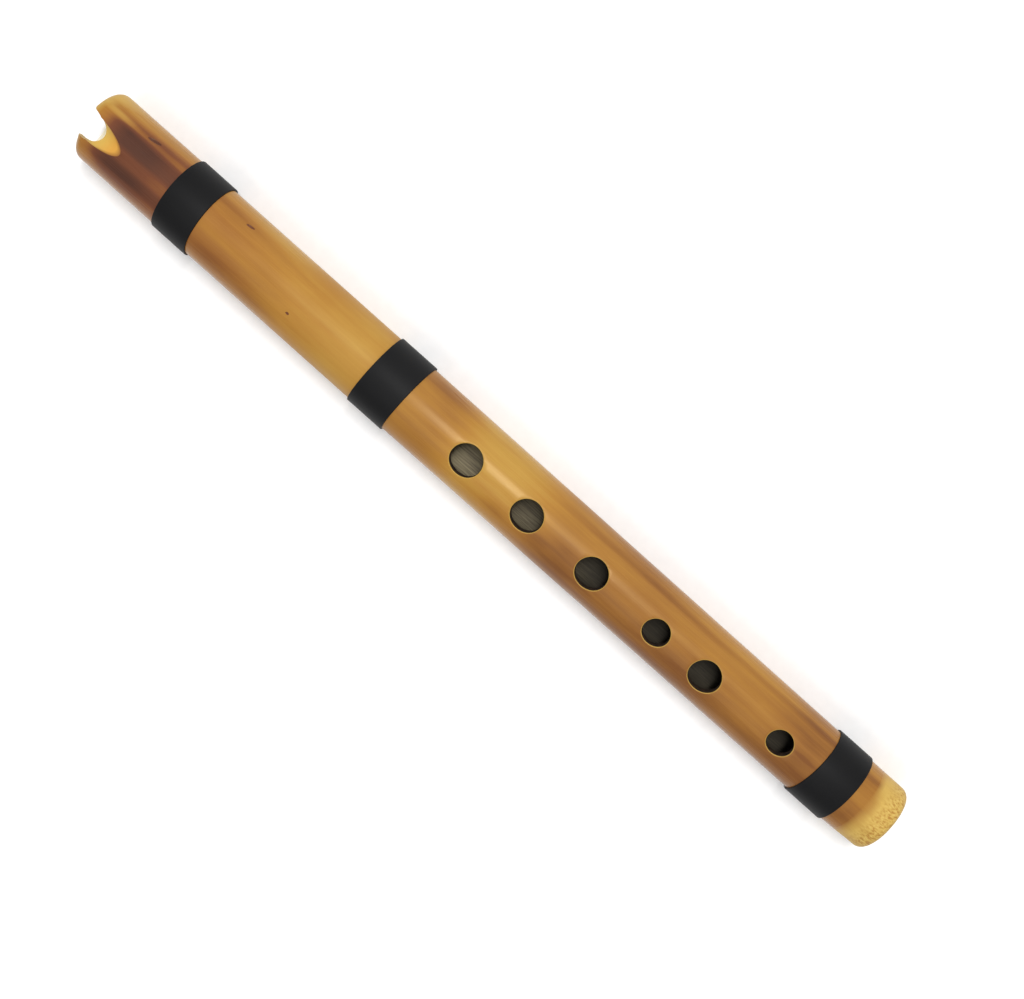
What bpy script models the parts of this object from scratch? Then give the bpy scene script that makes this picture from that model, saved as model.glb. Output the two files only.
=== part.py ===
"""Quena, the end-notched flute of the Andes, cut from one length of cane.

Metres, +Z up. The flute lies along X, with the notched head end at -X and the foot at +X.
The notch and the finger holes face +Z and the thumb hole faces -Z. The origin is midway
along the flute, on the surface that its widest binding band rests on.
"""

import math

import bmesh
import bpy

# The cane: its bore, its wall, and the node wall grown across the foot
BORE_DIAMETER = 0.0200
HEAD_WALL = 0.00415
BODY_WALL = 0.00425
FOOT_WALL = 0.00380
FOOT_TAPER_LENGTH = 0.227
HEAD_RIM_RADIUS = 0.0025
FOOT_RIM_RADIUS = 0.0032
BORE_EDGE = 0.0006
NODE_WALL_THICKNESS = 0.0040
NODE_WALL_LEDGE = 0.0035
NODE_WALL_EDGE = 0.0008

# Lengths along the cane from the head end to the foot, each from the one before
HEAD_END_TO_HEAD_BAND = 0.0395
HEAD_BAND_LENGTH = 0.0155
HEAD_BAND_TO_MIDDLE_BAND = 0.0794
MIDDLE_BAND_LENGTH = 0.0163
MIDDLE_BAND_TO_THUMB_HOLE = 0.0103
THUMB_HOLE_TO_FIRST_HOLE = 0.0203
LAST_HOLE_TO_FOOT_BAND = 0.0155
FOOT_BAND_LENGTH = 0.0154
FOOT_BAND_TO_FOOT_END = 0.0188

# Finger holes, numbered from the head end: the steps between them, their diameters across
# the cane, and how many degrees towards +Y each was drilled off the line of the notch. They
# are burnt through and cleaned along the grain, so each hole is a little longer than wide
HOLE_1_TO_2 = 0.0290
HOLE_2_TO_3 = 0.0306
HOLE_3_TO_4 = 0.0309
HOLE_4_TO_5 = 0.0231
HOLE_5_TO_6 = 0.0354
HOLE_1_DIAMETER = 0.0121
HOLE_2_DIAMETER = 0.0120
HOLE_3_DIAMETER = 0.0120
HOLE_4_DIAMETER = 0.0101
HOLE_5_DIAMETER = 0.0119
HOLE_6_DIAMETER = 0.0096
HOLE_ROLLS = (-0.7, -2.3, -2.5, -4.0, -4.8, -4.0)
THUMB_HOLE_DIAMETER = 0.0096
HOLE_EXTRA_LENGTH = 0.0005
HOLE_CHAMFER = 0.00045

# The mouth notch: a rounded channel down through the wall, and a bevel filed up to the
# outside from the channel's far end, which leaves the thin edge that makes the sound. Both
# were worked by hand with a round file, a few degrees askew towards -Y
NOTCH_WIDTH = 0.0110
NOTCH_DEPTH = 0.0090
NOTCH_CORNER_RADIUS = 0.0017
NOTCH_SKEW = math.radians(4.0)
THIN_EDGE = 0.0003
BEVEL_ANGLE = math.radians(22.0)
FILE_DIAMETER = 0.0098

# The binding bands
BAND_WALL = 0.00045
BAND_CLEARANCE = 0.0003
BAND_EDGE_RADIUS = 0.0002

# How finely round shapes are divided, and how far a cutter reaches past what it cuts
ROUND_STEPS = 48
HOLE_STEPS = 32
ARC_STEPS = 5
BAND_EDGE_STEPS = 2
NOTCH_STEPS = 12
CUT_MARGIN = 0.003
WELD_DISTANCE = 0.00001
SHARP_ANGLE = math.radians(20.0)

CANE_COLOUR = (0.491, 0.231, 0.051)
CANE_ROUGHNESS = 0.35
BAND_COLOUR = (0.021, 0.021, 0.023)
BAND_ROUGHNESS = 0.55

# Places along the cane, as distances from the head end
HEAD_BAND_START = HEAD_END_TO_HEAD_BAND
HEAD_BAND_END = HEAD_BAND_START + HEAD_BAND_LENGTH
MIDDLE_BAND_START = HEAD_BAND_END + HEAD_BAND_TO_MIDDLE_BAND
MIDDLE_BAND_END = MIDDLE_BAND_START + MIDDLE_BAND_LENGTH
THUMB_HOLE = MIDDLE_BAND_END + MIDDLE_BAND_TO_THUMB_HOLE
FIRST_HOLE = THUMB_HOLE + THUMB_HOLE_TO_FIRST_HOLE
HOLE_STEPS_ALONG = (0.0, HOLE_1_TO_2, HOLE_2_TO_3, HOLE_3_TO_4, HOLE_4_TO_5, HOLE_5_TO_6)
LAST_HOLE = FIRST_HOLE + sum(HOLE_STEPS_ALONG)
FOOT_BAND_START = LAST_HOLE + LAST_HOLE_TO_FOOT_BAND
FOOT_BAND_END = FOOT_BAND_START + FOOT_BAND_LENGTH
LENGTH = FOOT_BAND_END + FOOT_BAND_TO_FOOT_END
TAPER_START = LENGTH - FOOT_TAPER_LENGTH

BANDS = {
    "head_band": (HEAD_BAND_START, HEAD_BAND_END),
    "middle_band": (MIDDLE_BAND_START, MIDDLE_BAND_END),
    "foot_band": (FOOT_BAND_START, FOOT_BAND_END),
}
HOLE_DIAMETERS = (
    HOLE_1_DIAMETER,
    HOLE_2_DIAMETER,
    HOLE_3_DIAMETER,
    HOLE_4_DIAMETER,
    HOLE_5_DIAMETER,
    HOLE_6_DIAMETER,
)
BORE_RADIUS = BORE_DIAMETER / 2
HALF_FACET = math.pi / ROUND_STEPS


def cane_radius(distance):
    """Outside radius of the cane at a distance from the head end."""
    walls = (
        (0.0, HEAD_WALL),
        (HEAD_BAND_END, BODY_WALL),
        (TAPER_START, BODY_WALL),
        (LENGTH, FOOT_WALL),
    )
    for (start, wall), (end, next_wall) in zip(walls, walls[1:]):
        if distance <= end:
            share = (distance - start) / (end - start)
            return BORE_RADIUS + wall + (next_wall - wall) * share
    return BORE_RADIUS + FOOT_WALL


def band_radius(distance):
    """Outside radius of a band that lies on the cane at this distance."""
    return cane_radius(distance) + BAND_CLEARANCE + BAND_WALL


# The flute's axis is as high as the flat underside of its widest band needs
WIDEST_BAND = max(band_radius(edge) for edges in BANDS.values() for edge in edges)
AXIS_HEIGHT = WIDEST_BAND * math.cos(HALF_FACET)


def world_x(distance):
    """X of a place on the flute, from its distance to the head end."""
    return distance - LENGTH / 2


def make_collection(name):
    collection = bpy.data.collections.new(name)
    bpy.context.scene.collection.children.link(collection)
    return collection


def make_material(name, colour, roughness):
    material = bpy.data.materials.new(name)
    material.use_nodes = True
    material.diffuse_color = (*colour, 1.0)
    shader = material.node_tree.nodes["Principled BSDF"]
    shader.inputs["Base Color"].default_value = (*colour, 1.0)
    shader.inputs["Roughness"].default_value = roughness
    shader.inputs["Metallic"].default_value = 0.0
    return material


def make_object(name, mesh, collection):
    obj = bpy.data.objects.new(name, mesh)
    collection.objects.link(obj)
    return obj


def evaluated_mesh(obj):
    """The object's mesh as its modifiers or its curve settings leave it."""
    bpy.context.view_layer.update()
    depsgraph = bpy.context.evaluated_depsgraph_get()
    return bpy.data.meshes.new_from_object(obj.evaluated_get(depsgraph))


def rounded_corner(centre, radius, start_angle, steps):
    """A quarter turn, clockwise from start_angle, in pairs of (radius, distance)."""
    angles = [start_angle - math.pi / 2 * step / steps for step in range(steps + 1)]
    return [
        (centre[0] + radius * math.cos(angle), centre[1] - radius * math.sin(angle))
        for angle in angles
    ]


def turned(name, profile, material, collection):
    """Turn a closed outline, in pairs of (radius, distance), about the flute's axis.

    The outline starts half a facet round, so that the turned piece has a flat, and not
    an edge, along its underside.
    """
    points = [
        (radius * math.cos(HALF_FACET), radius * math.sin(HALF_FACET), -distance)
        for radius, distance in profile
    ]
    edges = [(index, (index + 1) % len(points)) for index in range(len(points))]
    mesh = bpy.data.meshes.new(name)
    mesh.from_pydata(points, edges, [])
    mesh.materials.append(material)
    piece = make_object(name, mesh, collection)
    piece.location = (world_x(0.0), 0.0, AXIS_HEIGHT)
    piece.rotation_euler = (0.0, -math.pi / 2, 0.0)
    screw = piece.modifiers.new("turn", "SCREW")
    screw.axis = "Z"
    screw.steps = ROUND_STEPS
    screw.render_steps = ROUND_STEPS
    screw.use_merge_vertices = True
    screw.merge_threshold = WELD_DISTANCE
    return piece


def tube_profile():
    """The cane's wall: down the outside from head to foot, then back up the bore."""
    head_rim = min(HEAD_RIM_RADIUS, HEAD_WALL - 2 * BORE_EDGE)
    foot_rim = min(FOOT_RIM_RADIUS, FOOT_WALL)
    foot_rim_start = LENGTH - foot_rim
    foot_hole_radius = BORE_RADIUS - NODE_WALL_LEDGE
    node_wall_face = LENGTH - NODE_WALL_THICKNESS
    head_centre = (cane_radius(head_rim) - head_rim, head_rim)
    foot_centre = (cane_radius(foot_rim_start) - foot_rim, foot_rim_start)
    profile = rounded_corner(head_centre, head_rim, math.pi / 2, ARC_STEPS)
    profile.append((cane_radius(HEAD_BAND_END), HEAD_BAND_END))
    profile.append((cane_radius(TAPER_START), TAPER_START))
    profile += rounded_corner(foot_centre, foot_rim, 0.0, ARC_STEPS)
    profile.append((foot_hole_radius + NODE_WALL_EDGE, LENGTH))
    profile.append((foot_hole_radius, LENGTH - NODE_WALL_EDGE))
    profile.append((foot_hole_radius, node_wall_face))
    profile.append((BORE_RADIUS, node_wall_face))
    profile.append((BORE_RADIUS, BORE_EDGE))
    profile.append((BORE_RADIUS + BORE_EDGE, 0.0))
    return profile


def band_profile(start, end):
    """A band's wall between two distances, with its outer edges eased."""
    edge = min(BAND_EDGE_RADIUS, BAND_WALL / 2)
    first = (band_radius(start) - edge, start + edge)
    last = (band_radius(end) - edge, end - edge)
    profile = rounded_corner(first, edge, math.pi / 2, BAND_EDGE_STEPS)
    profile += rounded_corner(last, edge, 0.0, BAND_EDGE_STEPS)
    profile.append((cane_radius(end) + BAND_CLEARANCE, end))
    profile.append((cane_radius(start) + BAND_CLEARANCE, start))
    return profile


def loft(name, rings, collection):
    """Closed solid through rings of points, lowest first, each one counter-clockwise."""
    shape = bmesh.new()
    rows = [[shape.verts.new(point) for point in ring] for ring in rings]
    for lower, upper in zip(rows, rows[1:]):
        for index, vert in enumerate(lower):
            after = (index + 1) % len(lower)
            shape.faces.new((vert, lower[after], upper[after], upper[index]))
    shape.faces.new(reversed(rows[0]))
    shape.faces.new(rows[-1])
    mesh = bpy.data.meshes.new(name)
    shape.to_mesh(mesh)
    shape.free()
    return make_object(name, mesh, collection)


def hole_cutter(name, distance, diameter, roll, collection):
    """The drill for one hole, with a chamfer above it that follows the round outside.

    It stands on the flute's axis and points up, and then it is rolled about the axis.
    """
    angles = [2 * math.pi * step / HOLE_STEPS for step in range(HOLE_STEPS)]
    surface = cane_radius(distance)
    drill = diameter / 2
    mouth = drill + 2 * HOLE_CHAMFER

    def level_ring(radius, height):
        long_radius = radius + HOLE_EXTRA_LENGTH / 2
        return [(long_radius * math.cos(a), radius * math.sin(a), height) for a in angles]

    def saddle_ring(radius, lift):
        flat = level_ring(radius, lift)
        return [(x, y, z + math.sqrt(surface ** 2 - y ** 2)) for x, y, z in flat]

    rings = (
        level_ring(drill, 0.0),
        saddle_ring(drill, -HOLE_CHAMFER),
        saddle_ring(mouth, HOLE_CHAMFER),
        level_ring(mouth, surface + CUT_MARGIN),
    )
    cutter = loft(name, rings, collection)
    cutter.location = (world_x(distance), 0.0, AXIS_HEIGHT)
    cutter.rotation_euler = (-roll, 0.0, 0.0)
    return cutter


def extruded(name, outline, thickness, location, rotation, collection):
    """Closed solid from a flat outline, extruded both ways by half the thickness."""
    curve = bpy.data.curves.new(name, "CURVE")
    curve.dimensions = "2D"
    curve.fill_mode = "BOTH"
    curve.extrude = thickness / 2
    spline = curve.splines.new("POLY")
    spline.points.add(len(outline) - 1)
    spline.use_cyclic_u = True
    for point, (x, y) in zip(spline.points, outline):
        point.co = (x, y, 0.0, 1.0)
    drawing = make_object(name + "_outline", curve, collection)
    drawing.location = location
    drawing.rotation_euler = rotation
    mesh = evaluated_mesh(drawing)
    shape = bmesh.new()
    shape.from_mesh(mesh)
    bmesh.ops.remove_doubles(shape, verts=shape.verts, dist=WELD_DISTANCE)
    bmesh.ops.recalc_face_normals(shape, faces=shape.faces)
    shape.to_mesh(mesh)
    shape.free()
    solid = make_object(name, mesh, collection)
    solid.matrix_world = drawing.matrix_world
    bpy.data.objects.remove(drawing)
    return solid


def with_mirror_image(half):
    """A whole outline from the half of it that lies on and beside the line across = 0."""
    return half + [(-across, along) for across, along in reversed(half) if across > 0.0]


def channel_cutter(collection):
    """The notch's channel, straight down through the wall and into the bore.

    Seen from above it is half an ellipse, which opens into round corners at the mouth and
    leans by the notch's skew.
    """
    half_width = NOTCH_WIDTH / 2
    corner = min(NOTCH_CORNER_RADIUS, NOTCH_DEPTH / 2)
    half = [(0.0, NOTCH_DEPTH)]
    for step in range(1, NOTCH_STEPS + 1):
        angle = math.pi / 2 * step / NOTCH_STEPS
        reach = (NOTCH_DEPTH - corner) * math.cos(angle)
        half.append((half_width * math.sin(angle), corner + reach))
    for step in range(1, ARC_STEPS + 1):
        angle = math.pi / 2 * step / ARC_STEPS
        half.append((half_width + corner * (1 - math.cos(angle)), corner * (1 - math.sin(angle))))
    half.append((half_width + corner, -CUT_MARGIN))
    outline = [
        (world_x(along), across - along * math.tan(NOTCH_SKEW))
        for across, along in with_mirror_image(half)
    ]
    depth = cane_radius(NOTCH_DEPTH) + CUT_MARGIN
    middle = (0.0, 0.0, AXIS_HEIGHT + depth / 2)
    return extruded("channel_cutter", outline, depth, middle, (0.0, 0.0, 0.0), collection)


def file_cutter(collection):
    """The round file that cuts the notch's bevel, as a half circle with straight sides above.

    It lies at the bevel's slope and the notch's skew, with its belly on the thin edge.
    """
    radius = FILE_DIAMETER / 2
    half = []
    for step in range(NOTCH_STEPS + 1):
        angle = math.pi / 2 * step / NOTCH_STEPS
        half.append((radius * math.sin(angle), radius * (1 - math.cos(angle))))
    half.append((radius, cane_radius(NOTCH_DEPTH) + CUT_MARGIN))
    bevel_length = (BODY_WALL + NOTCH_DEPTH) / math.sin(BEVEL_ANGLE)
    edge_middle = (
        world_x(NOTCH_DEPTH),
        -NOTCH_DEPTH * math.tan(NOTCH_SKEW),
        AXIS_HEIGHT + BORE_RADIUS + THIN_EDGE,
    )
    turn = (math.pi / 2 - BEVEL_ANGLE, 0.0, math.pi / 2 - NOTCH_SKEW)
    outline = with_mirror_image(half)
    return extruded("file_cutter", outline, 2 * bevel_length, edge_middle, turn, collection)


def cut(piece, cutter):
    """Take a cutter's shape out of a piece, and leave the cutter as a wire guide."""
    boolean = piece.modifiers.new(cutter.name, "BOOLEAN")
    boolean.operation = "DIFFERENCE"
    boolean.solver = "EXACT"
    boolean.object = cutter
    cutter.display_type = "WIRE"
    cutter.hide_render = True


def smooth(piece):
    """Settle a piece's modifiers into its mesh and shade its round faces smooth."""
    mesh = evaluated_mesh(piece)
    piece.modifiers.clear()
    piece.data = mesh
    mesh.name = piece.name
    mesh.shade_smooth()
    mesh.set_sharp_from_angle(angle=SHARP_ANGLE)


def make_cane_tube(material, collection, cutters):
    tube = turned("cane_tube", tube_profile(), material, collection)
    cut(tube, channel_cutter(cutters))
    cut(tube, file_cutter(cutters))
    distance = FIRST_HOLE
    holes = zip(HOLE_STEPS_ALONG, HOLE_DIAMETERS, HOLE_ROLLS)
    for number, (step, diameter, roll) in enumerate(holes, start=1):
        distance += step
        name = f"finger_hole_cutter_{number}"
        cut(tube, hole_cutter(name, distance, diameter, math.radians(roll), cutters))
    thumb_cutter = hole_cutter(
        "thumb_hole_cutter", THUMB_HOLE, THUMB_HOLE_DIAMETER, math.pi, cutters
    )
    cut(tube, thumb_cutter)
    smooth(tube)


def make_bands(material, collection):
    for name, (start, end) in BANDS.items():
        smooth(turned(name, band_profile(start, end), material, collection))


def main():
    for obj in list(bpy.data.objects):
        bpy.data.objects.remove(obj)
    quena = make_collection("quena")
    cutters = make_collection("cutters")
    cane = make_material("varnished_cane", CANE_COLOUR, CANE_ROUGHNESS)
    binding = make_material("black_binding", BAND_COLOUR, BAND_ROUGHNESS)
    make_cane_tube(cane, quena, cutters)
    make_bands(binding, quena)


main()
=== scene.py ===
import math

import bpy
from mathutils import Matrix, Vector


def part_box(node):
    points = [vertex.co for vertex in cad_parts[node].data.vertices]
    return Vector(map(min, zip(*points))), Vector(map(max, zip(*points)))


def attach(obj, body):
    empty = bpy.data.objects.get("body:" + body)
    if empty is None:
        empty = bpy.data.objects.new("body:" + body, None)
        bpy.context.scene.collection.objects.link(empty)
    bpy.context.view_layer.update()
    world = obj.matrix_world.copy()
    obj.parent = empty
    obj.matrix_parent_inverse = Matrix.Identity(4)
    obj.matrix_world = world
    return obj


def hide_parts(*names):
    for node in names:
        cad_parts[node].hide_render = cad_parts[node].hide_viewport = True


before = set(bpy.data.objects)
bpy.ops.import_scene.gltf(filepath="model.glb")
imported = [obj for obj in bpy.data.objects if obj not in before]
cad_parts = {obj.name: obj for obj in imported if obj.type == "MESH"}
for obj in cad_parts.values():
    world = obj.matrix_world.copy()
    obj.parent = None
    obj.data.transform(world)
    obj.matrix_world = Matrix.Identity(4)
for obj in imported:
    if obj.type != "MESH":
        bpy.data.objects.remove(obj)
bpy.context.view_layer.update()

# Looks of a quena, the end-notched flute of the Andes: one length of varnished cane with a
# notch, six finger holes and a thumb hole, held by three black binding bands. Metres, +Z up,
# head end at -X, notch and finger holes towards +Z. A station is how far a place lies from the
# head end, and degrees are counted round the flute, from the notch line towards +Y.

MM = 0.001

# Where the CAD parts are
HEAD_CORNER, FOOT_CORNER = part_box("cane_tube")
HEAD_END = HEAD_CORNER.x
LENGTH = FOOT_CORNER.x - HEAD_END
AXIS_HEIGHT = (HEAD_CORNER.z + FOOT_CORNER.z) / 2

# The cane's own sizes, the same as in the CAD: outside radius by station, foot, bore and node
CANE_RADII = (
    (0.0, 14.15 * MM),
    (55.0 * MM, 14.25 * MM),
    (153.0 * MM, 14.25 * MM),
    (LENGTH, 13.80 * MM),
)
FOOT_RIM = 3.2 * MM
BORE_RADIUS = 10.0 * MM
BORE_EDGE = 0.6 * MM
NODE_WALL = 4.0 * MM
NODE_HOLE_RADIUS = 6.5 * MM
NODE_HOLE_EDGE = 0.8 * MM

# Sanded by hand: a rounder head rim, and on the -Y side a lip that is shorter and a foot that
# is thinner, how far along each reaches, and the shares of the radius where it starts and ends
HEAD_RIM = 3.4 * MM
LIP_BACK = 1.2 * MM
LIP_LENGTH = 14.0 * MM
FOOT_IN = 0.6 * MM
FOOT_LENGTH = 17.0 * MM
SANDED_SIDE = (0.05, 0.55)

# Holes: station, diameter across, degrees
HOLES = (
    (181.3 * MM, 12.1 * MM, -0.7),
    (210.3 * MM, 12.0 * MM, -2.3),
    (240.9 * MM, 12.0 * MM, -2.5),
    (271.8 * MM, 10.1 * MM, -4.0),
    (294.9 * MM, 11.9 * MM, -4.8),
    (330.3 * MM, 9.6 * MM, -4.0),
    (161.0 * MM, 9.6 * MM, 180.0),
)

# How much longer than wide a hole is, the round of its rim, how far the round turns, and how
# far out the drill's mouth flares past it
HOLE_EXTRA_LENGTH = 0.5 * MM
HOLE_RIM = 0.42 * MM
HOLE_RIM_TURN = math.radians(75.0)
HOLE_FLARE = 3 * HOLE_RIM

# The mouth notch: channel, then the filed bevel
NOTCH_WIDTH = 11.0 * MM
NOTCH_DEPTH = 9.0 * MM
NOTCH_CORNER = 1.7 * MM
NOTCH_SKEW = math.radians(4.0)
THIN_EDGE = 0.3 * MM
BEVEL_ANGLE = math.radians(22.0)
FILE_DIAMETER = 9.8 * MM

# The bands: buried a little in the cane, eased at both edges, a hair inside the CAD's ring
BAND_SEAT = 0.1 * MM
BAND_EASE = 0.22 * MM
BAND_INSET = 0.02 * MM

# How many degrees each band's head edge and foot edge lean, as wound by hand
BAND_LEANS = {"head_band": (-1.9, -2.6), "middle_band": (1.2, 1.6), "foot_band": (2.6, 0.6)}

# Nicks in the skin: station, degrees, length, width and depth, and degrees off the grain
NICKS = (
    (24.0 * MM, 46.5, 5.6 * MM, 1.5 * MM, 0.28 * MM, 13.0),
    (69.4 * MM, 46.5, 3.6 * MM, 1.1 * MM, 0.24 * MM, 9.0),
    (99.6 * MM, -14.0, 1.5 * MM, 1.0 * MM, 0.24 * MM, 0.0),
)

# How far below the skin a vertex on a nick or a hole's rim lies, and what colours it there:
# the scorch that a nick adds as painted shade, the least scorch in it, also painted shade, and the
# straw on a rim
BELOW_SKIN = 0.03 * MM
CUT_FLOOR = 0.6 * MM
NICK_PAINTED_SHADE = 0.34
NICK_LEAST_PAINTED_SHADE = 0.62
RIM_STRAW = 0.72

# How finely the round shapes are divided
ROUND = 192
HOLE_ROUND = 72
NICK_ROUND = 16
NICK_RINGS = 12
RIM_STEPS = 6
NOTCH_STEPS = 20
STATION_STEP = 2.5 * MM
BORE_STEP = 20.0 * MM
WELD = 0.002 * MM
SMOOTH_ANGLE = math.radians(28.0)
CLEARANCE = 3.0 * MM

# How squarely a face of the cane looks along the flute to count as a cut end, and how much a
# face of a drill looks along the drill to count as rim
END_SQUARENESS = 0.95
RIM_SQUARENESS = 0.12

# Where colours change along the cane: the station where each starts and where it is complete
CHANNEL_PALE = (4.5 * MM, 8.0 * MM)
BEVEL_BROWN = (8.0 * MM, 12.0 * MM)
BEVEL_GOLD = (9.5 * MM, 14.8 * MM)
PAST_NOTCH = (20.0 * MM, 21.0 * MM)
# Where the painted glow of light in the bore's head end fades out
PAST_PAINTED_GLOW = (4.0 * MM, 18.0 * MM)
BORE_DARK = (178.0 * MM, 245.0 * MM)
FOOT_FLECKS = (LENGTH - 9.5 * MM, LENGTH - 4.5 * MM)

# How far below the skin the bevel begins to brown, and where it is brownest
BROWN_DEPTHS = (0.95 * MM, 0.05 * MM)

# Grain in the skin, fibres, streaks and clouds: length along the flute, width and detail
SKIN_GRAINS = (
    (16.0 * MM, 0.32 * MM, 3.0),
    (110.0 * MM, 2.2 * MM, 3.0),
    (40.0 * MM, 8.0 * MM, 4.0),
)

# Where most of a noise lies
NOISE_SPAN = (0.3, 0.7)

# The photograph's camera: the flute is rolled a little, and lies from upper left to lower
# right, with these shares of its length to the right and down
ROLL = math.radians(11.5)
AIM_STATION = 202.53 * MM
AIM_ACROSS = -2.3 * MM
CAMERA_DISTANCE = 0.575
NEAREST_SEEN = 10.0 * MM
ALONG_RIGHT = 0.74622
ALONG_DOWN = 0.66570
LENS = 56.01
SENSOR = 36.0

# Directions: along the flute, across it as the camera sees it, and back to the camera
ALONG = Vector((1.0, 0.0, 0.0))
ACROSS = Vector((0.0, math.cos(ROLL), -math.sin(ROLL)))
BACK = Vector((0.0, math.sin(ROLL), math.cos(ROLL)))

# Soft lights: how far back, across and along from the aim they hang, length, width and watts
SOFT_LIGHTS = {
    "window_light": (1.6, 0.205, -0.026, 0.12, 0.55, 17.5),
    "bounce_light": (1.2, -1.0, 0.0, 1.0, 1.0, 7.5),
    "side_light": (0.9, 1.2, 0.0, 1.0, 1.0, 5.0),
}
ROOM_LIGHT = 0.45
FLOOR_SIZE = 6.0


def world_x(station):
    return HEAD_END + station


def span_x(stations):
    """Where a pair of stations lies along X."""
    start, end = stations
    return world_x(start), world_x(end)


def cane_radius(station):
    """Outside radius of the cane at a station."""
    for (start, radius), (end, next_radius) in zip(CANE_RADII, CANE_RADII[1:]):
        if station <= end:
            return radius + (next_radius - radius) * (station - start) / (end - start)
    return CANE_RADII[-1][1]


def ease(low, high, value):
    """0 below low, 1 above high, and a smooth rise between."""
    share = min(max((value - low) / (high - low), 0.0), 1.0)
    return share * share * (3.0 - 2.0 * share)


def window(rise, full, fall, gone, value):
    """Rises from rise to full, holds, and falls from fall to gone."""
    return ease(rise, full, value) * (1.0 - ease(fall, gone, value))


# Mesh making


def pick(piece):
    bpy.ops.object.select_all(action="DESELECT")
    piece.select_set(True)
    bpy.context.view_layer.objects.active = piece


def begin_edit(piece):
    pick(piece)
    bpy.ops.object.mode_set(mode="EDIT")
    bpy.ops.mesh.select_all(action="SELECT")


def close_up():
    """Ends the edit of a piece: welds what meets and turns every face outwards."""
    bpy.ops.mesh.select_all(action="SELECT")
    bpy.ops.mesh.remove_doubles(threshold=WELD)
    bpy.ops.mesh.normals_make_consistent(inside=False)
    bpy.ops.object.mode_set(mode="OBJECT")
    bpy.ops.object.transform_apply(location=True, rotation=True, scale=True)


def pulled_ring(name, outline, around):
    """A round piece about the flute's axis: a circle pulled and resized from place to place.

    The outline is a closed run of (station, radius), once round the piece's wall.
    """
    station, radius = outline[0]
    bpy.ops.mesh.primitive_circle_add(
        vertices=around,
        radius=radius,
        location=(world_x(station), 0.0, AXIS_HEIGHT),
        rotation=(0.0, math.pi / 2, 0.0),
    )
    piece = bpy.context.object
    piece.name = name
    begin_edit(piece)
    for next_station, next_radius in outline[1:] + outline[:1]:
        move = (next_station - station, 0.0, 0.0)
        grow = next_radius / radius
        bpy.ops.mesh.extrude_region_move(TRANSFORM_OT_translate={"value": move})
        bpy.ops.transform.resize(
            value=(1.0, grow, grow),
            center_override=(world_x(next_station), 0.0, AXIS_HEIGHT),
        )
        station, radius = next_station, next_radius
    close_up()
    return piece


def drawn_prism(name, outline, bottom, top):
    """A flat outline drawn corner by corner, filled, and pulled up into a solid."""
    bpy.ops.mesh.primitive_plane_add(size=1.0, location=(0.0, 0.0, 0.0))
    piece = bpy.context.object
    piece.name = name
    begin_edit(piece)
    bpy.ops.mesh.merge(type="CENTER")
    bpy.ops.transform.translate(value=(*outline[0], bottom))
    for (x, y), (next_x, next_y) in zip(outline, outline[1:]):
        step = (next_x - x, next_y - y, 0.0)
        bpy.ops.mesh.extrude_region_move(TRANSFORM_OT_translate={"value": step})
    bpy.ops.mesh.select_all(action="SELECT")
    bpy.ops.mesh.edge_face_add()
    bpy.ops.mesh.extrude_region_move(TRANSFORM_OT_translate={"value": (0.0, 0.0, top - bottom)})
    close_up()
    return piece


def mirrored(half):
    """A whole outline from the half that lies beside the line across = 0."""
    return half + [(-across, along) for across, along in reversed(half) if across > 0.0]


def paint_all(piece, material):
    piece.data.materials.clear()
    piece.data.materials.append(material)


def carve(piece, cutter):
    """Cuts the cutter out of the piece; what it cuts keeps the cutter's own finish."""
    boolean = piece.modifiers.new("carve", "BOOLEAN")
    boolean.operation = "DIFFERENCE"
    boolean.solver = "EXACT"
    boolean.material_mode = "TRANSFER"
    boolean.object = cutter
    pick(piece)
    bpy.ops.object.modifier_apply(modifier=boolean.name)
    bpy.data.objects.remove(cutter)


def settle(piece):
    """Welds the finished mesh and shades its round faces smooth."""
    begin_edit(piece)
    bpy.ops.mesh.remove_doubles(threshold=WELD)
    bpy.ops.mesh.dissolve_degenerate(threshold=WELD)
    bpy.ops.object.mode_set(mode="OBJECT")
    bpy.ops.object.shade_smooth_by_angle(angle=SMOOTH_ANGLE)


def round_flute(station, degrees):
    """Takes a cutter that stands on the flute's axis to its station and turns it there."""
    turn = Matrix.Rotation(-math.radians(degrees), 4, "X")
    return Matrix.Translation((world_x(station), 0.0, AXIS_HEIGHT)) @ turn


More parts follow.
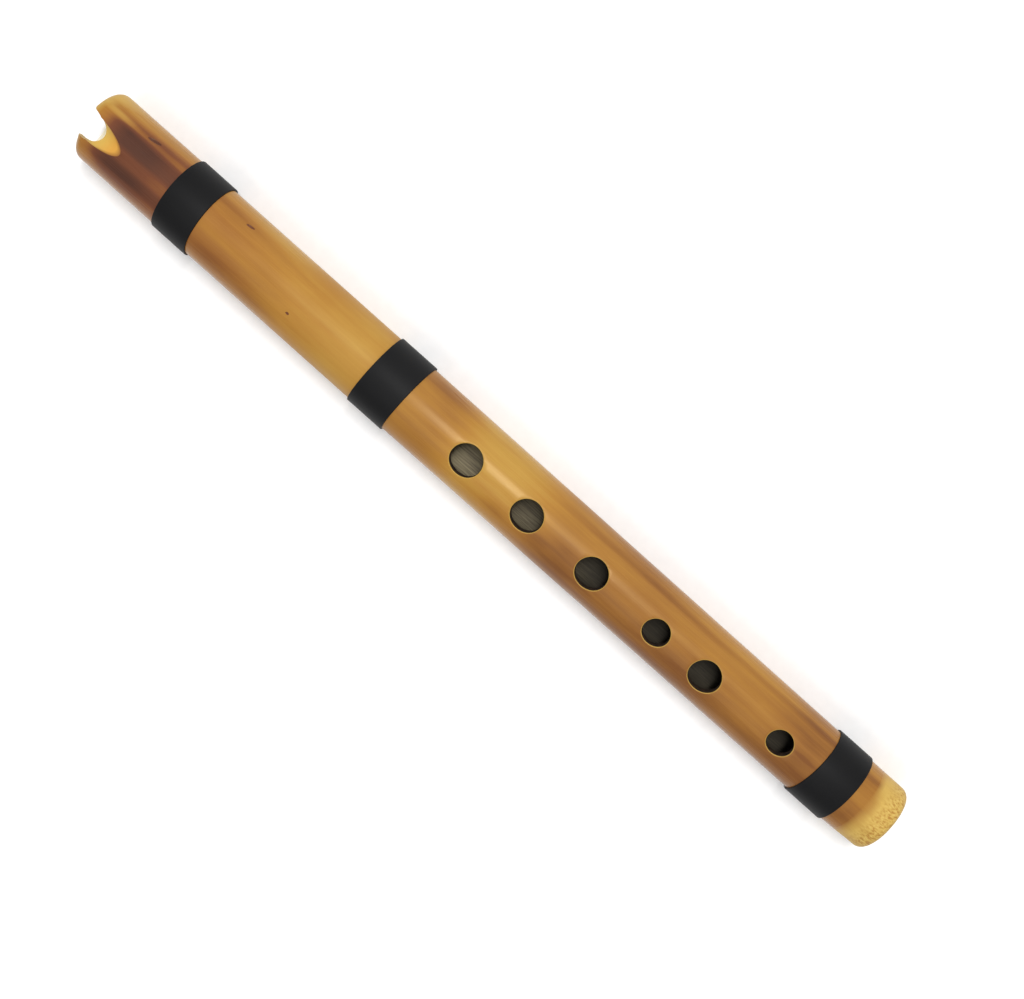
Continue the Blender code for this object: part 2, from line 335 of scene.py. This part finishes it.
def drill(station, diameter, degrees, wall, rim):
    """A drill for one hole, with a rounded flare that follows the cane's round outside."""
    surface = cane_radius(station)
    radius = diameter / 2
    outline = [(radius, -(surface - BORE_RADIUS) - CLEARANCE)]
    for step in range(RIM_STEPS):
        angle = HOLE_RIM_TURN * step / (RIM_STEPS - 1)
        outline.append((radius + HOLE_RIM * (1 - math.cos(angle)), HOLE_RIM * (math.sin(angle) - 1)))
    outline.append((radius + HOLE_FLARE, HOLE_RIM / 2))
    outline.append((radius + HOLE_FLARE, CLEARANCE))
    bpy.ops.mesh.primitive_circle_add(
        vertices=HOLE_ROUND, radius=radius, fill_type="NGON", location=(0.0, 0.0, outline[0][1])
    )
    cutter = bpy.context.object
    begin_edit(cutter)
    for (size, height), (next_size, next_height) in zip(outline, outline[1:]):
        rise = (0.0, 0.0, next_height - height)
        grow = next_size / size
        bpy.ops.mesh.extrude_region_move(TRANSFORM_OT_translate={"value": rise})
        bpy.ops.transform.resize(value=(grow, grow, 1.0), center_override=(0.0, 0.0, next_height))
    bpy.ops.mesh.select_all(action="SELECT")
    stretch = 1 + HOLE_EXTRA_LENGTH / diameter
    bpy.ops.transform.resize(value=(stretch, 1.0, 1.0), center_override=(0.0, 0.0, 0.0))
    close_up()
    for vertex in cutter.data.vertices:
        vertex.co.z += math.sqrt(surface**2 - vertex.co.y**2)
    cutter.data.materials.append(wall)
    cutter.data.materials.append(rim)
    for face in cutter.data.polygons:
        face.material_index = 1 if abs(face.normal.z) > RIM_SQUARENESS else 0
    cutter.matrix_world = round_flute(station, degrees)
    return cutter


def notch_channel(finish):
    """The channel of the notch: half an ellipse that opens into round corners at the mouth."""
    half_width = NOTCH_WIDTH / 2
    half = [(0.0, NOTCH_DEPTH)]
    for step in range(1, NOTCH_STEPS + 1):
        angle = math.pi / 2 * step / NOTCH_STEPS
        reach = (NOTCH_DEPTH - NOTCH_CORNER) * math.cos(angle)
        half.append((half_width * math.sin(angle), NOTCH_CORNER + reach))
    for step in range(1, RIM_STEPS + 1):
        angle = math.pi / 2 * step / RIM_STEPS
        across = half_width + NOTCH_CORNER * (1 - math.cos(angle))
        half.append((across, NOTCH_CORNER * (1 - math.sin(angle))))
    half.append((half_width + NOTCH_CORNER, -CLEARANCE))
    lean = math.tan(NOTCH_SKEW)
    outline = [(world_x(along), across - along * lean) for across, along in mirrored(half)]
    top = AXIS_HEIGHT + cane_radius(0.0) + CLEARANCE
    cutter = drawn_prism("notch_channel", outline, AXIS_HEIGHT, top)
    paint_all(cutter, finish)
    return cutter


def notch_file(finish):
    """The round file that cuts the bevel, laid at the bevel's slope and the notch's skew."""
    radius = FILE_DIAMETER / 2
    half = []
    for step in range(NOTCH_STEPS + 1):
        angle = math.pi / 2 * step / NOTCH_STEPS
        half.append((radius * math.sin(angle), radius * (1 - math.cos(angle))))
    half.append((radius, cane_radius(NOTCH_DEPTH) + CLEARANCE))
    reach = (cane_radius(0.0) - BORE_RADIUS + NOTCH_DEPTH) / math.sin(BEVEL_ANGLE)
    cutter = drawn_prism("notch_file", mirrored(half), -reach, reach)
    across = -NOTCH_DEPTH * math.tan(NOTCH_SKEW)
    cutter.location = (world_x(NOTCH_DEPTH), across, AXIS_HEIGHT + BORE_RADIUS + THIN_EDGE)
    cutter.rotation_euler = (math.pi / 2 - BEVEL_ANGLE, 0.0, math.pi / 2 - NOTCH_SKEW)
    paint_all(cutter, finish)
    return cutter


def nick_cutter(station, degrees, length, width, depth, lean, finish):
    """A slim bead that leaves one nick in the skin."""
    bpy.ops.mesh.primitive_uv_sphere_add(segments=NICK_ROUND, ring_count=NICK_RINGS, radius=0.5)
    cutter = bpy.context.object
    begin_edit(cutter)
    bpy.ops.transform.resize(value=(length, width, 2 * depth), center_override=(0.0, 0.0, 0.0))
    bpy.ops.object.mode_set(mode="OBJECT")
    lift = Matrix.Translation((0.0, 0.0, cane_radius(station)))
    lie = lift @ Matrix.Rotation(math.radians(lean), 4, "Z")
    cutter.matrix_world = round_flute(station, degrees) @ lie
    paint_all(cutter, finish)
    return cutter


def quarter(centre, radius, start, steps):
    """A quarter turn about (station, radius), clockwise from the start angle."""
    turn = [start - math.pi / 2 * step / steps for step in range(steps + 1)]
    return [(centre[0] - radius * math.sin(a), centre[1] + radius * math.cos(a)) for a in turn]


def cane_outline():
    """The cane's wall: outside from head to foot, then back along the bore."""
    foot_rim = LENGTH - FOOT_RIM
    node_face = LENGTH - NODE_WALL
    outline = quarter((HEAD_RIM, cane_radius(HEAD_RIM) - HEAD_RIM), HEAD_RIM, math.pi / 2, RIM_STEPS)
    count = round((foot_rim - HEAD_RIM) / STATION_STEP)
    for step in range(1, count):
        station = HEAD_RIM + (foot_rim - HEAD_RIM) * step / count
        outline.append((station, cane_radius(station)))
    outline += quarter((foot_rim, cane_radius(foot_rim) - FOOT_RIM), FOOT_RIM, 0.0, RIM_STEPS)
    outline.append((LENGTH, NODE_HOLE_RADIUS + NODE_HOLE_EDGE))
    outline.append((LENGTH - NODE_HOLE_EDGE, NODE_HOLE_RADIUS))
    outline.append((node_face, NODE_HOLE_RADIUS))
    outline.append((node_face, BORE_RADIUS))
    count = round((node_face - BORE_EDGE) / BORE_STEP)
    for step in range(1, count + 1):
        outline.append((node_face + (BORE_EDGE - node_face) * step / count, BORE_RADIUS))
    outline.append((0.0, BORE_RADIUS + BORE_EDGE))
    return outline


def band_outline(node):
    """A band's wall: outer edges eased, inner side sunk a little in the cane."""
    low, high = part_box(node)
    start, end = low.x - HEAD_END, high.x - HEAD_END
    outside = min(high.z - AXIS_HEIGHT, high.y) - BAND_INSET
    outline = quarter((start + BAND_EASE, outside - BAND_EASE), BAND_EASE, math.pi / 2, RIM_STEPS)
    outline += quarter((end - BAND_EASE, outside - BAND_EASE), BAND_EASE, 0.0, RIM_STEPS)
    outline.append((end, cane_radius(end) - BAND_SEAT))
    outline.append((start, cane_radius(start) - BAND_SEAT))
    return outline


# Materials


def linear(code):
    """An sRGB hex colour as linear values for a shader."""
    parts = [int(code[place : place + 2], 16) / 255 for place in (1, 3, 5)]
    return [*(p / 12.92 if p <= 0.04045 else ((p + 0.055) / 1.055) ** 2.4 for p in parts), 1.0]


def grain(along, across):
    """A mapping's scale for a grain whose marks are this long along the flute, and this wide."""
    return 1 / along, 1 / across, 1 / across


def new_material(name):
    """An empty material with its tree, its shader and its Object coordinates."""
    material = bpy.data.materials.new(name)
    material.use_nodes = True
    tree = material.node_tree
    where = tree.nodes.new("ShaderNodeTexCoord").outputs["Object"]
    return material, tree, tree.nodes["Principled BSDF"], where


def give(tree, socket, value):
    """Links the socket to a node's output, or sets it to a value or a hex colour."""
    if isinstance(value, bpy.types.NodeSocket):
        tree.links.new(value, socket)
    else:
        socket.default_value = linear(value) if isinstance(value, str) else value


def add(tree, kind, sockets=(), stops=(), **settings):
    """Adds a node with its settings and links, and returns its first used output.

    sockets gives inputs by name, or the first used ones in order: a map range's value, from
    low and high, to low and high, or a mix's factor and its two colours.
    """
    node = tree.nodes.new(kind)
    for setting, value in settings.items():
        setattr(node, setting, value)
    if stops:
        ramp = node.color_ramp.elements
        while len(ramp) < len(stops):
            ramp.new(1.0)
        for element, (place, colour) in zip(ramp, stops):
            element.position = place
            element.color = linear(colour)
    used = [socket for socket in node.inputs if socket.enabled]
    if isinstance(sockets, dict):
        used = [next(socket for socket in used if socket.name == name) for name in sockets]
        sockets = sockets.values()
    for socket, value in zip(used, sockets):
        give(tree, socket, value)
    return next(socket for socket in node.outputs if socket.enabled)


def set_shader(tree, shader, **inputs):
    """Gives the shader's inputs, each named with _ for a space."""
    for name, value in inputs.items():
        give(tree, shader.inputs[name.replace("_", " ")], value)


def skin_colour(tree, russet, scorch_and_painted_light, straw, streaks, clouds):
    """The skin's colour by the shares written on it, broken up by streaks and clouds."""
    # From gold to brown by the russet share
    drift = add(tree, "ShaderNodeMapRange", (clouds, *NOISE_SPAN, -0.13, 0.13))
    tone = add(tree, "ShaderNodeMath", (russet, drift), operation="ADD")
    drift = add(tree, "ShaderNodeMapRange", (streaks, *NOISE_SPAN, -0.08, 0.08))
    tone = add(tree, "ShaderNodeMath", (tone, drift), operation="ADD")
    golds = ((0.0, "#AC843A"), (0.35, "#A0712D"), (0.7, "#8D5E28"), (1.0, "#734722"))
    colour = add(tree, "ShaderNodeValToRGB", {"Fac": tone}, stops=golds)

    # The scorch, uneven inside and soft at its edges; its share also carries painted shade in the
    # nicks and a painted highlight line along the upper tongue
    drift = add(tree, "ShaderNodeMapRange", (clouds, *NOISE_SPAN, 0.88, 1.1))
    burn_and_painted_light = add(tree, "ShaderNodeMath", (scorch_and_painted_light, drift), operation="MULTIPLY", use_clamp=True)
    browns = ((0.0, "#96592A"), (0.45, "#6E3E27"), (1.0, "#432820"))
    burnt = add(tree, "ShaderNodeValToRGB", {"Fac": burn_and_painted_light}, stops=browns)
    reach = add(tree, "ShaderNodeMapRange", (burn_and_painted_light, 0.0, 0.55, 0.0, 1.0))
    colour = add(tree, "ShaderNodeMix", (reach, colour, burnt), data_type="RGBA")

    # Sanded through to the straw under the skin, ragged along the fibres; the straw share also
    # carries a painted highlight line beside the notch
    drift = add(tree, "ShaderNodeMapRange", (streaks, *NOISE_SPAN, 0.8, 1.15))
    bare = add(tree, "ShaderNodeMath", (straw, drift), operation="MULTIPLY", use_clamp=True)
    return add(tree, "ShaderNodeMix", (bare, colour, "#BC9A4E"), data_type="RGBA")


def foot_flecks(tree, where, colour):
    """Ends of the fibre bundles where the foot is rounded over: the colour with dark and light
    flecks, and the share of the dark ones."""
    place = add(tree, "ShaderNodeMapping", {"Vector": where, "Scale": grain(1.3 * MM, 0.7 * MM)})
    sockets = {"Vector": place, "Scale": 1.0, "Detail": 1.5, "Roughness": 0.5}
    bundles = add(tree, "ShaderNodeTexNoise", sockets)
    x = add(tree, "ShaderNodeSeparateXYZ", {"Vector": where})
    near = add(tree, "ShaderNodeMapRange", (x, *span_x(FOOT_FLECKS), 0.0, 1.0))
    dash = add(tree, "ShaderNodeMapRange", (bundles, 0.52, 0.66, 0.0, 0.8))
    dash = add(tree, "ShaderNodeMath", (dash, near), operation="MULTIPLY")
    colour = add(tree, "ShaderNodeMix", (dash, colour, "#9A6A2C"), data_type="RGBA")
    glint = add(tree, "ShaderNodeMapRange", (bundles, 0.34, 0.48, 0.55, 0.0))
    glint = add(tree, "ShaderNodeMath", (glint, near), operation="MULTIPLY")
    return add(tree, "ShaderNodeMix", (glint, colour, "#D0B468"), data_type="RGBA"), dash


def varnished_cane():
    """Cane skin, sanded and varnished: honey gold with long soft streaks and fine fibres under
    a thin gloss, scorched brown at the head, bare and straw pale where the rims are sanded."""
    material, tree, shader, where = new_material("varnished_cane_skin")
    grains = []
    for along, across, detail in SKIN_GRAINS:
        place = add(tree, "ShaderNodeMapping", {"Vector": where, "Scale": grain(along, across)})
        sockets = {"Vector": place, "Scale": 1.0, "Detail": detail, "Roughness": 0.58}
        grains.append(add(tree, "ShaderNodeTexNoise", sockets))
    fibres, streaks, clouds = grains

    # The shares that finish_attributes wrote on the skin
    names = ("russet", "scorch_and_painted_light", "straw", "dull")
    shares = [add(tree, "ShaderNodeAttribute", attribute_name=name) for name in names]
    russet, scorch_and_painted_light, straw, dull = shares

    colour = skin_colour(tree, russet, scorch_and_painted_light, straw, streaks, clouds)
    colour, dash = foot_flecks(tree, where, colour)
    shade = add(tree, "ShaderNodeMapRange", (fibres, 0.28, 0.72, 0.965, 1.03))
    sockets = (1.0, colour, shade)
    colour = add(tree, "ShaderNodeMix", sockets, data_type="RGBA", blend_type="MULTIPLY")

    # Rougher where the varnish is sanded off or dull, and a faint relief of the grain
    rough = add(tree, "ShaderNodeMapRange", (fibres, *NOISE_SPAN, 0.23, 0.29))
    rough = add(tree, "ShaderNodeMath", (straw, 0.3, rough), operation="MULTIPLY_ADD")
    rough = add(tree, "ShaderNodeMath", (dull, 0.2, rough), operation="MULTIPLY_ADD")
    ripple = add(tree, "ShaderNodeMath", (streaks, 0.8, fibres), operation="MULTIPLY_ADD")
    ripple = add(tree, "ShaderNodeMath", (dash, -2.5, ripple), operation="MULTIPLY_ADD")
    relief = {"Strength": 0.35, "Distance": 0.04 * MM, "Height": ripple}
    bump = add(tree, "ShaderNodeBump", relief)
    set_shader(tree, shader, Base_Color=colour, Roughness=rough, Normal=bump)
    set_shader(tree, shader, IOR=1.5, Specular_IOR_Level=0.13, Specular_Tint="#FFE9BE")
    set_shader(tree, shader, Coat_Weight=0.2, Coat_Roughness=0.54, Coat_IOR=1.5)
    return material


def raw_cut_cane():
    """Cane cut across its fibres: straw pale, with the darker fibre bundles showing."""
    material, tree, shader, where = new_material("raw_cut_cane")
    place = add(tree, "ShaderNodeMapping", {"Vector": where, "Scale": grain(20.0 * MM, 0.5 * MM)})
    bundles = add(tree, "ShaderNodeTexVoronoi", {"Vector": place, "Scale": 1.0, "Randomness": 0.9})
    straws = ((0.12, "#A07A42"), (0.3, "#B39454"), (1.0, "#BEA460"))
    ground = add(tree, "ShaderNodeValToRGB", {"Fac": bundles}, stops=straws)

    # Cleaner in the notch's channel, and golden on the bevel
    x = add(tree, "ShaderNodeSeparateXYZ", {"Vector": where})
    notch = add(tree, "ShaderNodeMapRange", (x, *span_x(PAST_NOTCH), 1.0, 0.0))
    for stations, least, colour in ((CHANNEL_PALE, 0.1, "#C8A44C"), (BEVEL_GOLD, 0.0, "#CA943A")):
        share = add(tree, "ShaderNodeMapRange", (x, *span_x(stations), least, 1.0))
        share = add(tree, "ShaderNodeMath", (share, notch), operation="MULTIPLY")
        ground = add(tree, "ShaderNodeMix", (share, ground, colour), data_type="RGBA")

    # Just under the scorched skin the bevel is brown, by the distance from the flute's axis
    sockets = {"Vector": where, "Location": (0.0, 0.0, -AXIS_HEIGHT), "Scale": (0.0, 1.0, 1.0)}
    place = add(tree, "ShaderNodeMapping", sockets)
    radius = add(tree, "ShaderNodeVectorMath", {"Vector": place}, operation="LENGTH")
    skin = cane_radius(1.5 * NOTCH_DEPTH)
    edges = (skin - depth for depth in BROWN_DEPTHS)
    brown = add(tree, "ShaderNodeMapRange", (radius, *edges, 0.0, 0.9))
    share = add(tree, "ShaderNodeMapRange", (x, *span_x(BEVEL_BROWN), 0.3, 1.0))
    share = add(tree, "ShaderNodeMath", (share, notch), operation="MULTIPLY")
    share = add(tree, "ShaderNodeMath", (share, brown), operation="MULTIPLY")
    ground = add(tree, "ShaderNodeMix", (share, ground, "#85521F"), data_type="RGBA")
    set_shader(tree, shader, Base_Color=ground, Roughness=0.62, IOR=1.45)
    return material


def burnt_wall():
    """The walls of the holes, burnt through with a hot iron: dark, dry and a little uneven."""
    material, tree, shader, where = new_material("burnt_hole_wall")
    soot = add(tree, "ShaderNodeTexNoise", {"Vector": where, "Scale": 1 / (1.5 * MM), "Detail": 3.0})
    chars = ((0.35, "#1C120C"), (0.65, "#3A281A"))
    colour = add(tree, "ShaderNodeValToRGB", {"Fac": soot}, stops=chars)
    set_shader(tree, shader, Base_Color=colour, Roughness=0.7, IOR=1.45)
    return material


def bare_bore():
    """The bore: bare cane, grey-brown and fibrous, painted near white at the head as a painted glow
    of light, and dark at the foot.
    """
    material, tree, shader, where = new_material("bare_bore")
    place = add(tree, "ShaderNodeMapping", {"Vector": where, "Scale": grain(9.0 * MM, 0.5 * MM)})
    fibres = add(tree, "ShaderNodeTexNoise", {"Vector": place, "Scale": 1.0, "Detail": 3.0})
    greys = ((0.3, "#6E6350"), (0.7, "#A39778"))
    colour = add(tree, "ShaderNodeValToRGB", {"Fac": fibres}, stops=greys)
    x = add(tree, "ShaderNodeSeparateXYZ", {"Vector": where})
    # Painted glow: the bore painted near white at the head, where light falls in through the notch
    painted_glow = add(tree, "ShaderNodeMapRange", (x, *span_x(PAST_PAINTED_GLOW), 1.0, 0.0))
    colour = add(tree, "ShaderNodeMix", (painted_glow, colour, "#F6EDD3"), data_type="RGBA")
    dark = add(tree, "ShaderNodeMapRange", (x, *span_x(BORE_DARK), 0.0, 0.87))
    colour = add(tree, "ShaderNodeMix", (dark, colour, "#1E1A16"), data_type="RGBA")
    set_shader(tree, shader, Base_Color=colour, Roughness=0.75, IOR=1.4)
    return material


def satin_binding():
    """Shrunk-on vinyl tape: black, smooth and satin, with a very fine skin."""
    material, tree, shader, where = new_material("black_satin_vinyl_binding")
    skin = add(tree, "ShaderNodeTexNoise", {"Vector": where, "Scale": 1 / (0.6 * MM), "Detail": 4.0})
    blacks = ((0.3, "#0B0B0C"), (0.7, "#0F0F10"))
    colour = add(tree, "ShaderNodeValToRGB", {"Fac": skin}, stops=blacks)
    rough = add(tree, "ShaderNodeMapRange", (skin, *NOISE_SPAN, 0.52, 0.58))
    bump = add(tree, "ShaderNodeBump", {"Strength": 0.2, "Distance": 0.02 * MM, "Height": skin})
    set_shader(tree, shader, Base_Color=colour, Roughness=rough, Normal=bump)
    set_shader(tree, shader, IOR=1.5, Specular_IOR_Level=0.14)
    return material


# The cane


def scorch_share(station, degrees):
    """How deeply the skin is scorched: two dark tongues from the notch's point to the band."""
    mm = station / MM
    body = 0.60 * window(-90.0, -30.0, 36.0 + 0.35 * mm, 56.0 + 0.35 * mm, degrees)
    upper = 0.34 * window(2.0, 12.0, 30.0, 39.0, degrees)
    lower = 0.27 * window(-38.0, -28.0, -18.0, -8.0, degrees)

    # A painted highlight: a paler line along the upper tongue, clearest at the head
    line = 0.3 * window(36.0, 40.5, 43.5, 49.0, degrees) * (1.0 - 0.6 * ease(10.0, 30.0, mm))

    # Deepest between the notch and the band, faint past the band, then gone
    deep = ease(0.0, 17.0, mm) * (1.0 - 0.2 * ease(26.0, 38.0, mm))
    deep *= 1.0 - 0.82 * ease(42.0, 56.0, mm)
    return max(0.0, (body + upper + lower - line) * deep * (1.0 - ease(64.0, 96.0, mm)))


# How brown the skin is: station in millimetres, share, and what the -Y and +Y sides add
RUSSET_ALONG = (
    (0.0, 0.35, 0.0, -0.1),
    (40.0, 0.6, 0.1, -0.2),
    (60.0, 0.56, 0.05, -0.25),
    (82.0, 0.4, 0.18, -0.3),
    (104.0, 0.32, 0.0, 0.0),
    (128.0, 0.1, 0.0, 0.0),
    (148.0, 0.48, 0.06, 0.12),
    (164.0, 0.54, 0.05, 0.1),
    (184.0, 0.02, 0.14, 0.0),
    (194.0, 0.03, 0.2, 0.0),
    (232.0, 0.54, 0.38, 0.05),
    (256.0, 0.66, 0.18, 0.08),
    (285.0, 0.54, 0.4, -0.1),
    (315.0, 0.54, 0.18, -0.2),
    (342.0, 0.78, 0.1, -0.06),
    (362.0, 0.6, 0.2, -0.1),
    (380.0, 0.4, 0.0, 0.0),
)

# Browner smudges in the skin, and one that is more golden: station in millimetres, degrees,
# half length, half width in degrees, and share
SMUDGES = (
    (158.0, 62.0, 14.0, 24.0, 0.18),
    (200.0, -28.0, 9.0, 18.0, 0.24),
    (217.0, -16.0, 10.0, 18.0, 0.2),
    (340.5, 3.0, 8.0, 6.0, 0.24),
    (365.0, -19.0, 6.0, 18.0, 0.16),
    (364.5, 50.0, 6.0, 16.0, 0.12),
    (88.0, -42.0, 16.0, 16.0, 0.2),
    (66.0, -30.0, 24.0, 34.0, 0.36),
    (64.0, 4.0, 22.0, 24.0, -0.18),
    (227.0, 0.0, 18.0, 20.0, 0.24),
)


def russet_share(station, degrees):
    """How brown the varnished skin is: by the station, by the side, and by the smudges."""
    mm = station / MM
    for before, after in zip(RUSSET_ALONG, RUSSET_ALONG[1:]):
        if mm <= after[0]:
            break
    blend = ease(before[0], after[0], mm)
    share, low, high = (a + (b - a) * blend for a, b in zip(before[1:], after[1:]))
    low_side = ease(-22.0, 24.0, -degrees) * (1.0 - ease(100.0, 150.0, -degrees))
    high_side = ease(44.0, 66.0, degrees) * (1.0 - ease(100.0, 150.0, degrees))
    long_line = 0.2 * window(42.0, 50.0, 53.0, 62.0, degrees)
    tone = share + low * low_side + high * high_side
    tone += long_line * (ease(198.0, 234.0, mm) + 1.0 - ease(66.0, 90.0, mm))
    for middle, side, half_length, half_width, brown in SMUDGES:
        reach = math.hypot((mm - middle) / half_length, (degrees - side) / half_width)
        tone += brown * (1.0 - ease(0.0, 1.0, reach))
    return tone


def straw_share(station, degrees):
    """Where sanding has gone through the skin: the head rim, wider on the +Y side, the node at
    the foot with its wandering edge, and a painted highlight: a pale line beside the notch."""
    mm = station / MM
    wander = 0.5 * math.cos(math.radians(3 * degrees))
    wander += 0.35 * math.sin(math.radians(5 * degrees - 30.0))
    foot = ease(367.5 + wander, 370.6 + wander, mm)
    reach = 3.4 + 3.6 * ease(34.0, 50.0, degrees) + 9.0 * ease(54.0, 74.0, degrees)
    rim = 0.8 * (1.0 - ease(1.0, reach, mm))
    # A painted highlight: a pale straw line beside the notch
    line = 0.4 * window(35.0, 41.0, 44.0, 50.0, degrees) * window(1.0, 4.0, 8.0, 18.0, mm)
    return max(foot, rim, line)


def dull_share(station, degrees):
    """Where the varnish is duller, whatever the degrees: up to the middle band, and between the
    second and third holes."""
    mm = station / MM
    return window(84.0, 108.0, 134.0, 172.0, mm) + 0.55 * window(206.0, 220.0, 230.0, 246.0, mm)


def finish_attributes(cane):
    """Writes the shares on the cane; below the skin, nicks are darkened with painted shade and hole
    rims are paler.
    """
    places = []
    for vertex in cane.data.vertices:
        x, y, z = vertex.co
        station = x - HEAD_END
        degrees = math.degrees(math.atan2(y, z - AXIS_HEIGHT))
        depth = cane_radius(station) - math.hypot(y, z - AXIS_HEIGHT)
        places.append((station, degrees, BELOW_SKIN < depth < CUT_FLOOR))
    nicks = [(nick[0], nick[2] / 2) for nick in NICKS]
    rims = [(station, diameter / 2 + HOLE_FLARE) for station, diameter, degrees in HOLES]
    for name, share, cuts, more, least in (
        ("scorch_and_painted_light", scorch_share, nicks, NICK_PAINTED_SHADE, NICK_LEAST_PAINTED_SHADE),
        ("straw", straw_share, rims, 0.0, RIM_STRAW),
        ("russet", russet_share, (), 0.0, 0.0),
        ("dull", dull_share, (), 0.0, 0.0),
    ):
        values = []
        for station, degrees, below in places:
            value = share(station, degrees)
            # In a nick the scorch share is raised as painted shade; on a hole's rim the straw share
            # is raised
            if below and any(abs(station - middle) < reach for middle, reach in cuts):
                value = max(value + more, least)
            values.append(value)
        attribute = cane.data.attributes.new(name, "FLOAT", "POINT")
        attribute.data.foreach_set("value", values)


def sand_ends(cane):
    """Both ends as sanded by hand on the -Y side: the lip a little shorter, the foot thinner."""
    for vertex in cane.data.vertices:
        x, y, z = vertex.co
        station = x - HEAD_END
        side = ease(*SANDED_SIDE, -y / cane_radius(0.0))
        vertex.co.x += LIP_BACK * side * (1.0 - ease(0.0, LIP_LENGTH, station))
        if math.hypot(y, z - AXIS_HEIGHT) > BORE_RADIUS + BORE_EDGE / 2:
            vertex.co.y += FOOT_IN * side * ease(LENGTH - FOOT_LENGTH, LENGTH - FOOT_RIM, station)


def make_cane():
    skin, raw, burnt, bore = varnished_cane(), raw_cut_cane(), burnt_wall(), bare_bore()
    finishes = (skin, raw, burnt, bore)
    cane = pulled_ring("cane_body", cane_outline(), ROUND)
    for finish in finishes:
        cane.data.materials.append(finish)
    for face in cane.data.polygons:
        radius = math.hypot(face.center.y, face.center.z - AXIS_HEIGHT)
        if abs(face.normal.x) > END_SQUARENESS:
            finish = raw
        elif radius < BORE_RADIUS + BORE_EDGE:
            finish = bore
        else:
            finish = skin
        face.material_index = finishes.index(finish)
    sand_ends(cane)
    carve(cane, notch_channel(raw))
    carve(cane, notch_file(raw))
    for station, diameter, degrees in HOLES:
        carve(cane, drill(station, diameter, degrees, burnt, skin))
    for nick in NICKS:
        carve(cane, nick_cutter(*nick, skin))
    settle(cane)
    finish_attributes(cane)
    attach(cane, "root")
    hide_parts("cane_tube")


def lean_edges(band, leans):
    """Turns the band's two ends a little about the upright, as tape wound by hand lies."""
    xs = [vertex.co.x for vertex in band.data.vertices]
    middle = sum(xs) / len(xs)
    for end, lean in zip((min(xs), max(xs)), leans):
        begin_edit(band)
        bpy.ops.mesh.select_all(action="DESELECT")
        bpy.ops.object.mode_set(mode="OBJECT")
        for vertex in band.data.vertices:
            vertex.select = (vertex.co.x < middle) == (end < middle)
        bpy.ops.object.mode_set(mode="EDIT")
        bpy.ops.transform.rotate(
            value=math.radians(lean), orient_axis="Z", center_override=(end, 0.0, AXIS_HEIGHT)
        )
        bpy.ops.object.mode_set(mode="OBJECT")


def make_bands():
    vinyl = satin_binding()
    for node, leans in BAND_LEANS.items():
        band = pulled_ring(node + "_ring", band_outline(node), ROUND)
        lean_edges(band, leans)
        paint_all(band, vinyl)
        settle(band)
        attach(band, "root")
        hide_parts(node)


# The stage


def make_floor():
    """White paper, matt, with the faintest fleck."""
    bpy.ops.mesh.primitive_plane_add(size=FLOOR_SIZE, location=(0.0, 0.0, 0.0))
    floor = bpy.context.object
    floor.name = "white_sheet"
    material, tree, shader, where = new_material("matt_white_paper")
    fleck = add(tree, "ShaderNodeTexNoise", {"Vector": where, "Scale": 1 / (4 * MM)})
    whites = ((0.3, "#F4F4F4"), (0.7, "#F7F7F7"))
    colour = add(tree, "ShaderNodeValToRGB", {"Fac": fleck}, stops=whites)
    set_shader(tree, shader, Base_Color=colour, Roughness=0.9, Specular_IOR_Level=0.2)
    floor.data.materials.append(material)


def make_camera():
    """Makes the camera and returns the place that it looks at."""
    aim = Vector((world_x(AIM_STATION), 0.0, AXIS_HEIGHT)) + ACROSS * AIM_ACROSS
    right = ALONG * ALONG_RIGHT + ACROSS * ALONG_DOWN
    up = ACROSS * ALONG_RIGHT - ALONG * ALONG_DOWN
    lens = bpy.data.cameras.new("camera")
    lens.lens = LENS
    lens.sensor_width = SENSOR
    lens.sensor_fit = "HORIZONTAL"
    lens.clip_start = NEAREST_SEEN
    lens.dof.use_dof = False
    camera = bpy.data.objects.new("camera", lens)
    bpy.context.scene.collection.objects.link(camera)
    turn = Matrix((right, up, BACK)).transposed().to_4x4()
    camera.matrix_world = Matrix.Translation(aim + BACK * CAMERA_DISTANCE) @ turn
    bpy.context.scene.camera = camera
    return aim


def soft_light(name, target, offset, length, width, power):
    """A soft light at target + offset, turned to face the target, its length along the flute."""
    lamp = bpy.data.lights.new(name, "AREA")
    lamp.shape = "RECTANGLE"
    lamp.size = length
    lamp.size_y = width
    lamp.energy = power
    light = bpy.data.objects.new(name, lamp)
    bpy.context.scene.collection.objects.link(light)
    light.location = target + offset
    light.rotation_euler = offset.to_track_quat("Z", "Y").to_euler()


def make_lights(aim):
    for name, (back, across, along, length, width, power) in SOFT_LIGHTS.items():
        offset = BACK * back + ACROSS * across + ALONG * along
        soft_light(name, aim, offset, length, width, power)
    world = bpy.data.worlds.new("white_room")
    world.use_nodes = True
    bpy.context.scene.world = world
    background = world.node_tree.nodes["Background"]
    background.inputs["Color"].default_value = linear("#FFFFFF")
    background.inputs["Strength"].default_value = ROOM_LIGHT


make_cane()
make_bands()
make_floor()
make_lights(make_camera())
bpy.context.scene.view_settings.view_transform = "Standard"
